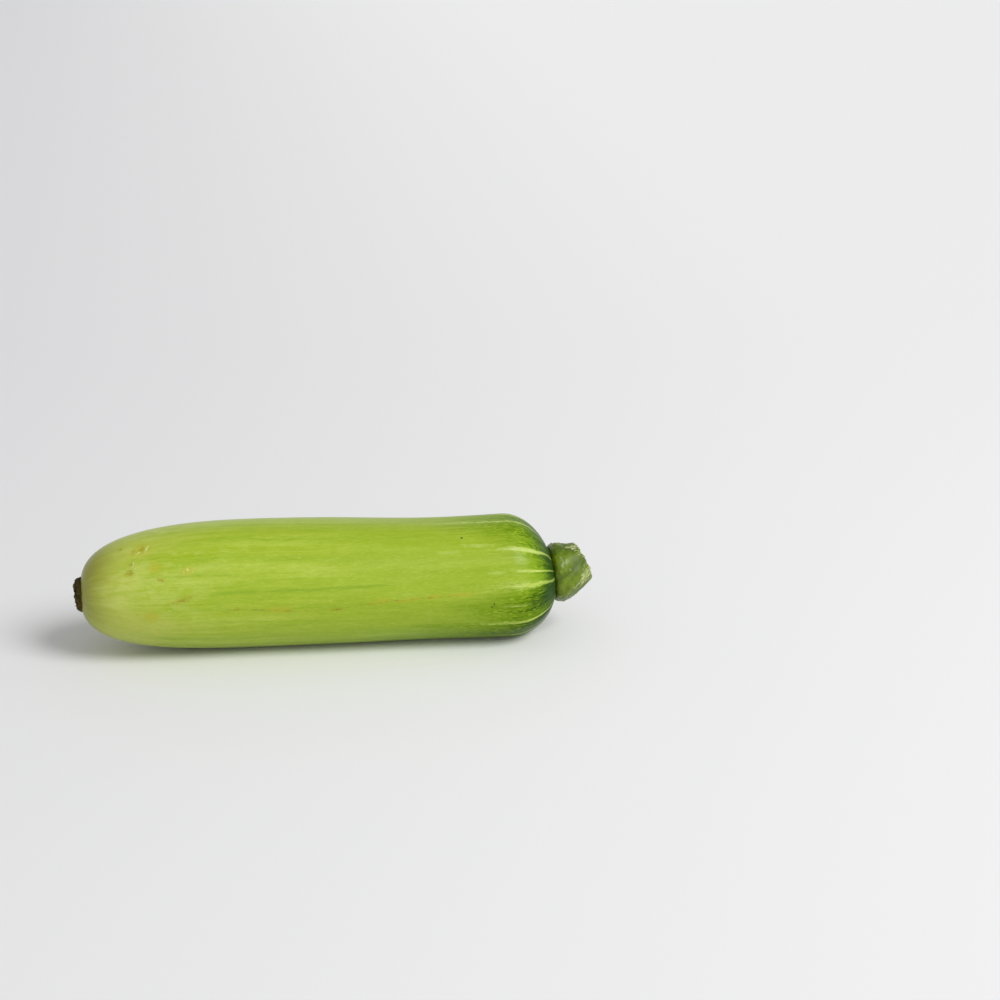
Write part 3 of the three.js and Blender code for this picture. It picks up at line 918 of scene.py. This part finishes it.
def stemFinish():
    material, mixing = newMaterial("freshStem", stemPlan["colours"], "green")
    places = mixing.stored("fibreMap", wide=True)
    threads, blotches, grain, hairs, crumbs = (
        mixing.noise(places, (along, across, across), layers, raggedness)
        for along, across, layers, raggedness in stemPlan["patterns"].values()
    )
    crest, share, fibrous, cut, cutDepth = (
        mixing.stored(name) for name in ("crest", "share", "fibrous", "cut", "cutDepth")
    )

    # Green bark, deeper in the grooves and towards the cut, and darker at the foot, where it is painted
    # shade beside the fruit.
    mixing.tint("groove", crest, 0.45, 0.0)
    crestShare = mixing.times(mixing.step(crest, 0.60, 1.05), mixing.step(share, 0.2, 0.8, 0.25, 0.9))
    mixing.coat(crestShare, "crest")
    mixing.tint("crest", blotches, 0.50, 0.74, 0.5)
    mixing.tint("groove", blotches, 0.48, 0.30, 0.6)
    mixing.tint("crest", threads, 0.52, 0.70, 0.25)
    mixing.tint("groove", share, 0.35, 0.75, 0.45)
    shadeBesideFruit = mixing.swayed(share, (blotches, 0.2))
    mixing.tint("foot", shadeBesideFruit, 0.03, -0.16, 0.9)
    mixing.tint("wart", mixing.stored("wart"), 0.0, 0.9, 0.6)

    # Torn fibres below the cut, with dark gaps between them.
    torn = mixing.swayed(fibrous, (threads, 1.8), (hairs, 1.4), (crumbs, 1.8))
    mixing.tint("fibre", torn, 0.45, 1.2, 0.92)
    speckled = mixing.plus(mixing.times(hairs, 0.4), (crumbs, 0.6))
    mixing.coat(mixing.times(mixing.step(speckled, 0.51, 0.40), fibrous, 0.9), "fibreDark")

    # The cut face, with a green rim and darker dots.
    colours = stemPlan["colours"]
    face = mixing.blend(mixing.step(cutDepth, 0.02, 0.30), colours["cutRim"], colours["cut"])
    dots = mixing.times(mixing.step(grain, 0.50, 0.62), mixing.step(cutDepth, 0.06, 0.2), 0.75)
    face = mixing.blend(dots, face, colours["cutDot"])

    rough = stemPlan["roughness"]
    dry = mixing.calc("MAXIMUM", fibrous, cut)
    waxy = mixing.step(share, 0.28, 0.62, rough["foot"], rough["wax"])
    dried = mixing.step(dry, 0.0, 1.0, rough["foot"], rough["torn"])
    height = mixing.times(threads, mixing.step(dry, 0.0, 1.0, 0.25, 1.6))
    for pattern, smooth, rugged in ((hairs, 0.05, 1.2), (crumbs, 0.0, 1.2), (grain, 0.12, 0.5)):
        height = mixing.plus(height, (pattern, mixing.step(dry, 0.0, 1.0, smooth, rugged)))
    height = mixing.plus(height, (blotches, 0.5))
    mixing.finish({
        "Base Color": mixing.blend(cut, mixing.colour, face),
        "Roughness": mixing.calc("MAXIMUM", waxy, dried),
        "Specular IOR Level": 0.30,
        "Normal": mixing.bump(height, stemPlan["fineRelief"]),
    })
    return material


# Torn fibres that stand off the rim of the cut, most of them at its top.
fibrePlan = {
    "top": {"count": 13, "start": (8.4, 10.6), "reach": (1.2, 2.4), "lift": (0.15, 0.7)},
    "around": {"count": 9, "start": (9.6, 11.0), "reach": (0.5, 1.2), "lift": (0.05, 0.25)},
    "topAngle": 96,
    "topSpread": 0.30,  # in radians
    "drift": (-0.10, 0.16),
    "thickness": 0.17,
    "fatness": (0.7, 1.2),
    "flatness": 1.5,
    "sides": 6,
    "points": 7,
    "dark": paint(188, 200, 138),
    "pale": paint(222, 222, 186),
}


# One fibre as rings of points along the stem's surface, lifting off it towards its end.
def fibreRings(angle, start, reach, lift, drift, fatness):
    share = np.linspace(0, 1, fibrePlan["points"])
    along = np.minimum(start + reach * share, stemPlan["length"] + 0.1)
    around = angle + drift * share
    outline = np.array(stemPlan["outline"])
    radius = np.interp(along, outline[:, 1], outline[:, 0])
    surface = stemSurface(along, around, radius, np.full(along.shape, -1.0))[0]
    places = stemPlace(along, around, surface - 0.12 + lift * share**1.4)
    thickness = fibrePlan["thickness"] * (1.15 - share) * fatness
    tangent = np.gradient(places, axis=0)
    tangent /= np.linalg.norm(tangent, axis=1)[:, None]
    across = np.cross(tangent, onRings(0, around, 1))
    across /= np.linalg.norm(across, axis=1)[:, None]
    upwards = np.cross(across, tangent)
    ring = (2 * np.pi * np.arange(fibrePlan["sides"]) / fibrePlan["sides"])[None, :, None]
    sideways = fibrePlan["flatness"] * np.cos(ring) * across[:, None, :]
    return places[:, None, :] + thickness[:, None, None] * (sideways + np.sin(ring) * upwards[:, None, :])


def buildTornFibres():
    random = np.random.default_rng(47)
    sides, count = fibrePlan["sides"], fibrePlan["points"]
    middle, spread = math.radians(fibrePlan["topAngle"]), fibrePlan["topSpread"]
    points, faces = [], []
    for group in ("top", "around"):
        plan = fibrePlan[group]
        for _ in range(plan["count"]):
            angle = random.normal(middle, spread) if group == "top" else random.uniform(0, 2 * np.pi)
            start, reach, lift = (random.uniform(*plan[key]) for key in ("start", "reach", "lift"))
            drift = random.uniform(*fibrePlan["drift"])
            rings = fibreRings(angle, start, reach, lift, drift, random.uniform(*fibrePlan["fatness"]))
            first = len(points)
            points.extend(rings.reshape(-1, 3))
            for row in range(count - 1):
                low, high = first + row * sides, first + (row + 1) * sides
                for side in range(sides):
                    beside = (side + 1) % sides
                    faces.append((low + side, low + beside, high + beside, high + side))
            last = first + (count - 1) * sides
            faces.append(tuple(first + side for side in reversed(range(sides))))
            faces.append(tuple(last + side for side in range(sides)))
    mesh = bpy.data.meshes.new("tornFibres")
    mesh.from_pydata((setOnStemEnd(np.array(points)) * mm).tolist(), [], faces)
    mesh.shade_smooth()
    return addObject("tornFibres", mesh)


def fibreFinish():
    material, mixing = newMaterial("dryFibre")
    places = material.node_tree.nodes.new("ShaderNodeTexCoord").outputs["Object"]
    grain = mixing.noise(places, (900, 900, 900), 2)
    colour = mixing.blend(mixing.step(grain, 0.35, 0.65), fibrePlan["dark"], fibrePlan["pale"])
    mixing.finish({"Base Color": colour, "Roughness": 0.6})
    return material


settle(buildStem(), stemFinish(), "stem")
settle(buildTornFibres(), fibreFinish(), "stem")
print("zucchini: stem built")


# The blossom scar in its own frame: +X points out of the fruit's blossom end.
scarPlan = {
    "drop": 0.5,
    "outline": [  # radius, along
        (7.2, -1.2), (6.95, -0.5), (6.5, 0.2), (5.9, 0.8), (5.1, 1.35), (4.2, 1.8), (3.2, 2.05),
        (2.2, 1.9), (1.1, 1.6), (0.15, 1.5),
    ],
    "pits": [  # radius, angle, size, depth
        (3.3, -62, 1.5, 1.25), (3.0, 152, 1.1, 0.8), (2.2, 40, 0.8, 0.5), (4.6, 95, 0.8, 0.45),
        (4.8, -140, 0.8, 0.5), (4.5, 15, 0.7, 0.4),
    ],
    "crumple": 0.42,
    "grit": 0.16,
    "rimRise": (0.55, 6.0, 0.55),  # by, radius, spread
    "knobs": (0.34, 5.6, 1.3),
    "edgeNoise": [(0.62, 0.42), (0.20, 1.7)],  # strength, fineness
    "lop": 0.30,
    "sunk": 0.3,
    "rows": 96,
    "columns": 190,
    "roughness": (0.92, 0.72),
    "fineRelief": 0.25,
    # These browns are set darker than the scar's own, partly as painted shade.
    "colours": {
        "cork": paint(84, 67, 22), "dark": paint(30, 21, 16), "tan": paint(146, 120, 82),
        "edge": paint(76, 63, 2), "rim": paint(46, 39, 8), "pit": paint(36, 20, 12),
        "thread": paint(190, 170, 130),
    },
}


def scarPlace(along, around, radius):
    y = radius * np.cos(around)
    z = radius * np.sin(around)
    seat = -scarPlan["sunk"] - capDepth(fruitPlan["blossomCap"], np.hypot(y, z - scarPlan["drop"]))
    return np.stack([np.maximum(along, seat), y, z], -1)


def setOnBlossomEnd(places):
    lean = math.radians(fruitPlan["blossomLean"][0])
    x, y, z = np.moveaxis(places, -1, 0)
    out = -x * math.cos(lean) + z * math.sin(lean)
    height = fruitPlan["axisHeight"][0] - scarPlan["drop"] + x * math.sin(lean) + z * math.cos(lean)
    return np.stack([out, bowAt(0.0) - y, height], -1) + originShift


def buildScar():
    along, around, radius = turnedOutline(scarPlan)
    flat = onRings(0, around, radius)
    edge = smoothStep(3.5, 7.0, radius)
    radius = radius + edge * unevenness(flat, scarPlan["edgeNoise"], 51)
    ridged = 1 - 2 * np.abs(layeredNoise(flat * 0.75 + 5, 53))
    by, middle, spread = scarPlan["rimRise"]
    rimRise = by * hump(radius - middle, spread) * (0.6 + 0.8 * softNoise(flat * 0.9, 54))
    pits = np.zeros(radius.shape)
    for pitRadius, angle, size, depth in scarPlan["pits"]:
        centre = pitRadius * np.array([0, math.cos(math.radians(angle)), math.sin(math.radians(angle))])
        distance = np.linalg.norm(flat - centre, axis=-1)
        pits = np.maximum(pits, depth * np.exp(-((distance / size) ** 2) * 1.6))
    bed = smoothStep(7.4, 6.6, radius)
    raised = scarPlan["crumple"] * ridged + scarPlan["grit"] * layeredNoise(flat * 2.6 + 5, 55)
    by, middle, spread = scarPlan["knobs"]
    knobs = by * layeredNoise(flat * 1.5 + 8, 56) * hump(radius - middle, spread)
    raised = raised + rimRise + knobs - pits
    swollen = along * (1 + scarPlan["lop"] * radius / 7 * np.sin(around)) + bed * raised
    rings = scarPlace(swollen, around, radius)
    tips = setOnBlossomEnd(np.array([[-3.5, 0, 0], rings[-1].mean(0)]))
    fields = {"scarMap": flat, "raised": raised, "pit": pits, "fromMiddle": radius}
    return wrapSkin("blossomScar", setOnBlossomEnd(rings), tips, fields)


def scarFinish():
    material, mixing = newMaterial("driedCork", scarPlan["colours"], "cork")
    places = mixing.stored("scarMap", wide=True)
    grain = mixing.noise(places, (2.6, 2.6, 2.6), 4, 0.6)
    patches = mixing.noise(places, (0.45, 0.45, 0.45), 3)
    fromMiddle = mixing.stored("fromMiddle")

    # Brown cork, tan where it stands up and dark where it folds in.
    mixing.tint("dark", patches, 0.40, 0.62)
    height = mixing.swayed(mixing.stored("raised"), (grain, 0.9))
    mixing.tint("tan", height, 0.15, 0.75, 0.85)
    mixing.tint("dark", height, 0.0, -0.5, 0.8)
    mixing.tint("pit", mixing.stored("pit"), 0.25, 0.8)

    # Pale threads in the hollow, and an olive edge on the skin.
    threadShare = mixing.times(mixing.step(fromMiddle, 2.4, 1.0), mixing.step(grain, 0.50, 0.62), 0.8)
    mixing.coat(threadShare, "thread")
    nearRim = mixing.swayed(fromMiddle, (grain, 1.6))
    mixing.tint("rim", nearRim, 4.4, 5.4, 0.85)
    mixing.tint("edge", nearRim, 6.0, 7.2, 0.9)
    mixing.finish({
        "Base Color": mixing.colour,
        "Roughness": mixing.step(grain, 0.3, 0.7, *scarPlan["roughness"]),
        "Specular IOR Level": 0.25,
        "Normal": mixing.bump(grain, scarPlan["fineRelief"]),
    })
    return material


settle(buildScar(), scarFinish(), "blossom_scar")
print("zucchini: blossom scar built")
